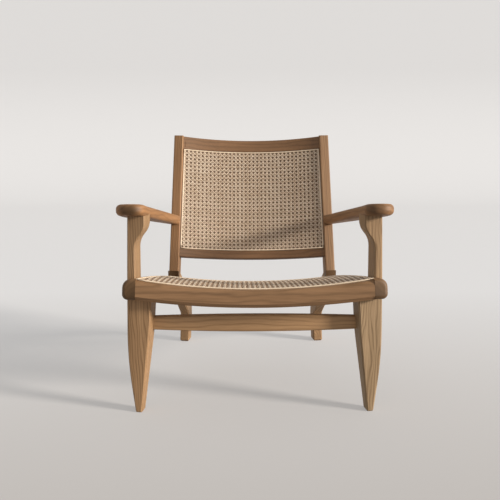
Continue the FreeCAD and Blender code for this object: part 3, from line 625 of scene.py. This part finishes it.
def reed_ring(name, outline, surface):
    """Reed laid round a panel on its surface, with mitred corners."""
    corners = drawn_in(outline, reed_width / 2)
    piece = curve_object(name + "_curve", [reed_finish])
    piece.data.bevel_depth = reed_radius
    piece.data.bevel_resolution = reed_facets
    places = []
    for index, corner in enumerate(corners):
        after = corners[(index + 1) % 4]
        for step in range(reed_steps):
            flat = corner.lerp(after, step / reed_steps)
            places.append(surface(flat.x, flat.y, reed_rise - reed_settling - reed_radius))
    run_through(piece.data, places, closed=True)
    ring = made_mesh(piece, name)
    for polygon in ring.data.polygons:
        polygon.use_smooth = True
    return ring


# Shade sheet: a dull dark brown sheet behind the back's cane, painted shade that shows through the
# cane's holes. It is drawn like muslin, a thin plain-woven cotton, with slubs about 4 mm long. Its
# threads, 0.4 mm apart, are too fine to show and are left to the roughness.

slub_size = 0.004
shade_sheet_tones = [(0.35, "66503E"), (0.65, "745E4A")]
shade_sheet_roughness = 0.9


def painted_shade_cloth():
    """Dark brown cloth of painted shade, with a fine uneven weave."""
    material, tree, shader = new_material("brown_muslin")
    place = add(tree, "ShaderNodeTexCoord").outputs["Object"]
    slub = add(tree, "ShaderNodeTexNoise", {"Scale": 1 / slub_size, "Detail": 2.0},
               {"Vector": place})
    colour = ramp(tree, slub.outputs["Fac"], shade_sheet_tones)
    tree.links.new(colour, shader.inputs["Base Color"])
    shader.inputs["Roughness"].default_value = shade_sheet_roughness
    return material


def shade_sheet(name, outline, surface):
    """Thin sheet of painted shade behind a caned panel."""
    corners = drawn_in(outline, reed_width / 2)
    sheet = bmesh.new()
    # A square one metre wide, spread over the outline
    bmesh.ops.create_grid(sheet, x_segments=shade_sheet_squares, y_segments=shade_sheet_squares, size=0.5)
    for vertex in sheet.verts:
        across, up = vertex.co.x + 0.5, vertex.co.y + 0.5
        low = corners[0].lerp(corners[1], across)
        high = corners[3].lerp(corners[2], across)
        flat = low.lerp(high, up)
        vertex.co = surface(flat.x, flat.y, -shade_sheet_recess)
    bmesh.ops.solidify(sheet, geom=sheet.faces[:], thickness=shade_sheet_thickness)
    bmesh.ops.recalc_face_normals(sheet, faces=sheet.faces)
    data = bpy.data.meshes.new(name)
    sheet.to_mesh(data)
    sheet.free()
    data.materials.append(painted_shade_cloth())
    return placed(name, data)


panels = {
    "seat": (seat_outline, seat_point, seat_mesh, seat_lay, seat_rise, seat_shares, seat_flank_shade),
    "back": (back_outline, back_point, back_mesh, back_lay, back_rise, back_shares, back_flank_shade),
}
for panel, (outline, surface, *weave) in panels.items():
    layers = woven_panel(panel + "_cane", outline, surface, *weave)
    # Behind the back's cane, a dark sheet of painted shade
    if panel == "back":
        shade_layer = shade_sheet("back_lining", outline, surface)
        layers.append(shade_layer)
    for piece in layers:
        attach(piece, "root")
        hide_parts(panel + "_cane")
    ring = reed_ring(panel + "_reed", outline, surface)
    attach(ring, "root")
    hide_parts(panel + "_spline")

bpy.data.objects.remove(section_piece)
finish_wood()


# Floor and wall in one sweep: trowelled plaster, pale, dull and without grain. The camera also
# sees it glow, painted light, and its colour and glow get lighter from the near floor to the wall,
# painted light too.

sweep_front = -8.0
sweep_back = 4.2
sweep_side = 8.0
sweep_height = 5.0
cove_radius = 0.9
cove_steps = 16
# The sweep's painted light: where its colour and glow start and stop getting lighter, and their
# near and far tones
tone_start = -1.2
tone_end = 1.0
plaster_roughness = 0.9
plaster_tones = ("8C8986", "A8A7A6")
plaster_glow = ("8A8682", "A5A5A5")
plaster_unseen = "928C86"


def plaster():
    """Pale plaster that glows for the camera, painted light, and is darker to the light it sends
    back, so that the chair's undersides stay dark.
    """
    material, tree, shader = new_material("pale_plaster")
    rays = add(tree, "ShaderNodeLightPath").outputs
    mirrored = add(tree, "ShaderNodeMath", {"operation": "MAXIMUM"},
                   {0: rays["Is Glossy Ray"], 1: rays["Is Transmission Ray"]})
    seen = add(tree, "ShaderNodeMath", {"operation": "MAXIMUM"},
               {0: rays["Is Camera Ray"], 1: mirrored.outputs["Value"]}).outputs["Value"]
    place = add(tree, "ShaderNodeTexCoord").outputs["Object"]
    depth = add(tree, "ShaderNodeSeparateXYZ", links={"Vector": place}).outputs["Y"]
    farness = add(tree, "ShaderNodeMapRange", {"From Min": tone_start, "From Max": tone_end},
                  {"Value": depth}).outputs["Result"]
    tone, glow = [
        add(tree, "ShaderNodeMix", {"data_type": "RGBA", 6: linear(near), 7: linear(far)},
            {"Factor": farness}).outputs[2]
        for near, far in (plaster_tones, plaster_glow)]
    body = add(tree, "ShaderNodeMix", {"data_type": "RGBA", 6: linear(plaster_unseen)},
               {"Factor": seen, 7: tone}).outputs[2]
    tree.links.new(body, shader.inputs["Base Color"])
    tree.links.new(glow, shader.inputs["Emission Color"])
    tree.links.new(seen, shader.inputs["Emission Strength"])
    shader.inputs["Roughness"].default_value = plaster_roughness
    return material


def stage_sweep():
    """Floor that curves up into a wall behind the chair."""
    form = bmesh.new()
    cove_start = sweep_back - cove_radius
    profile = [Vector((0, sweep_front, 0)), Vector((0, cove_start, 0))]
    for step in range(1, cove_steps + 1):
        angle = math.pi / 2 * step / cove_steps
        profile.append(Vector((0, cove_start + cove_radius * math.sin(angle),
                               cove_radius - cove_radius * math.cos(angle))))
    profile.append(Vector((0, sweep_back, sweep_height)))
    verts = [form.verts.new(point - Vector((sweep_side, 0, 0))) for point in profile]
    edges = [form.edges.new(pair) for pair in zip(verts, verts[1:])]
    made = bmesh.ops.extrude_edge_only(form, edges=edges)["geom"]
    bmesh.ops.translate(form, vec=(2 * sweep_side, 0, 0),
                        verts=[vert for vert in made if isinstance(vert, bmesh.types.BMVert)])
    bmesh.ops.recalc_face_normals(form, faces=form.faces)
    data = bpy.data.meshes.new("studio_sweep")
    form.to_mesh(data)
    form.free()
    for polygon in data.polygons:
        polygon.use_smooth = True
    data.materials.append(plaster())
    sweep = placed("studio_sweep", data)


stage_sweep()


# Light and camera

window = bpy.data.lights.new("low_window", "SUN")
window.energy = window_strength
window.angle = window_spread
window.color = linear(window_colour)[:3]
toward = Vector((math.cos(window_side) * math.cos(window_rise),
                 -math.sin(window_side) * math.cos(window_rise), math.sin(window_rise)))
placed("low_window", window).rotation_euler = toward.to_track_quat("Z", "Y").to_euler()

world = bpy.data.worlds.new("soft_room")
bpy.context.scene.world = world
world.use_nodes = True
background = world.node_tree.nodes["Background"]
background.inputs["Color"].default_value = linear(room_colour)
background.inputs["Strength"].default_value = room_strength

leg_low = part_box("right_front_leg")[0]
lens = bpy.data.cameras.new("photo_camera")
lens.lens = camera_lens
lens.sensor_width = camera_sensor
camera = placed("photo_camera", lens)
camera.location = (-camera_left, leg_low.y - camera_back, camera_height)
camera.rotation_euler = Euler((math.pi / 2 - camera_pitch, 0, -camera_yaw))
bpy.context.scene.camera = camera
bpy.context.scene.view_settings.view_transform = "Standard"
